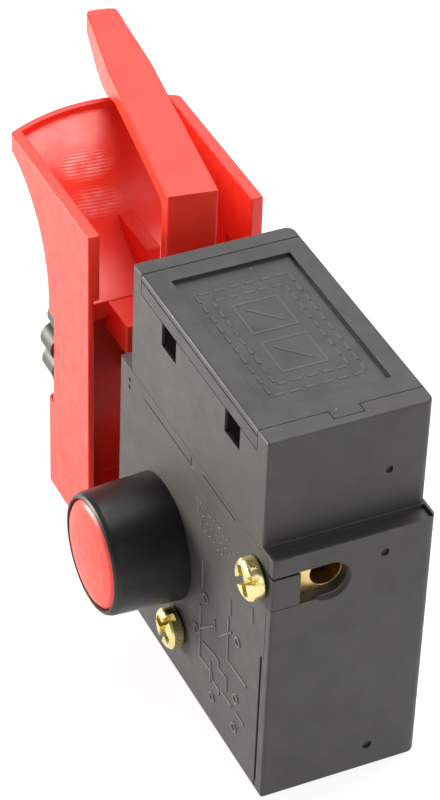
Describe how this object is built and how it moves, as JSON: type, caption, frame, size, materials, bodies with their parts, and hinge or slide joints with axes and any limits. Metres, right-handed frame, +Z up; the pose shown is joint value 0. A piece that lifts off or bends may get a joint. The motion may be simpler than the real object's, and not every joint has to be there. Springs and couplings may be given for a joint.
{
  "type": "power tool trigger switch",
  "caption": "Variable-speed trigger switch with a finger trigger, front speed dial, swinging reversing lever, side lock-on button and clamped wire entries in a stepped black case.",
  "frame": {"origin": "centre of the housing's bottom face", "axes": "-X towards the trigger, +X towards the supply wire entry, -Y towards the lock button, +Z up to the lid"},
  "size_m": [0.0925, 0.033, 0.0545],
  "materials": {
    "case": "fine spark-eroded satin",
    "case_lid": "fine spark-eroded satin",
    "collar": "smooth satin",
    "dial_black": "smooth satin",
    "red_plastic": "satin",
    "black_nylon": "satin",
    "white_nylon": "satin",
    "brass_screw": "bright plated",
    "brass_block": "machined",
    "spring_steel": "drawn wire",
    "carbon_track": "printed",
    "board": "laminate",
    "heat_sink": "rolled",
    "component_black": "moulded",
    "component_blue": "dipped",
    "component_tan": "lacquered"
  },
  "bodies": {
    "housing": {"main_housing": "case", "side_cover": "case", "top_lid": "case_lid", "rear_terminal_block": "brass_block", "low_terminal_block": "brass_block", "terminal_screws": "brass_screw", "lock_collar": "collar", "lock_spring": "spring_steel", "return_spring": "spring_steel", "lever_pivot_pin": "spring_steel", "reversing_contacts": "brass_block", "fixed_contacts": "brass_block", "speed_track": "carbon_track", "circuit_board": "board", "heat_plate": "heat_sink", "triac": "component_black", "timing_capacitor": "component_blue", "resistors": "component_tan", "suppression_capacitor": "component_blue", "motor_lead_clips": "brass_block", "link_bars": "brass_block"},
    "trigger": {"trigger": "red_plastic", "trigger_plunger": "black_nylon", "contact_bridge": "brass_block", "contact_spring": "spring_steel", "speed_wiper": "brass_block"},
    "speed_dial": {"speed_dial": "dial_black", "dial_spindle": "spring_steel"},
    "limit_stop": {"limit_stop": "black_nylon"},
    "lock_button": {"lock_button": "red_plastic", "lock_latch": "black_nylon"},
    "reversing_lever": {"reversing_lever": "red_plastic"},
    "reversing_carriage": {"reversing_carriage": "white_nylon", "reversing_bridges": "brass_block"}
  },
  "joints": [
    {"name": "trigger_pull", "type": "slide", "parent": "housing", "child": "trigger", "axis": [1, 0, 0], "range_m": [0, 0.006], "stiffness_N_per_m": 550, "springref_m": -0.0075, "deforming": ["return_spring"]},
    {"name": "dial_turn", "type": "hinge", "parent": "trigger", "child": "speed_dial", "pos_m": [-0.0416, 0, 0.0237], "axis": [1, 0, 0], "range_deg": [0, 300]},
    {"name": "stop_slide", "type": "slide", "parent": "trigger", "child": "limit_stop", "axis": [1, 0, 0], "range_m": [0, 0.003]},
    {"name": "lock_press", "type": "slide", "parent": "housing", "child": "lock_button", "axis": [0, 1, 0], "range_m": [0, 0.003], "stiffness_N_per_m": 400, "springref_m": -0.003, "deforming": ["lock_spring"]},
    {"name": "lever_swing", "type": "hinge", "parent": "housing", "child": "reversing_lever", "pos_m": [-0.0202, 0, 0.042], "axis": [0, 0, 1], "range_deg": [0, 17.2]},
    {"name": "carriage_slide", "type": "slide", "parent": "housing", "child": "reversing_carriage", "axis": [0, 1, 0], "range_m": [0, 0.0025]}
  ],
  "couplings": [
    {"joint": "stop_slide", "follows": "dial_turn", "m_per_rad": 0.00057296},
    {"joint": "carriage_slide", "follows": "lever_swing", "m_per_rad": 0.0081692}
  ]
}
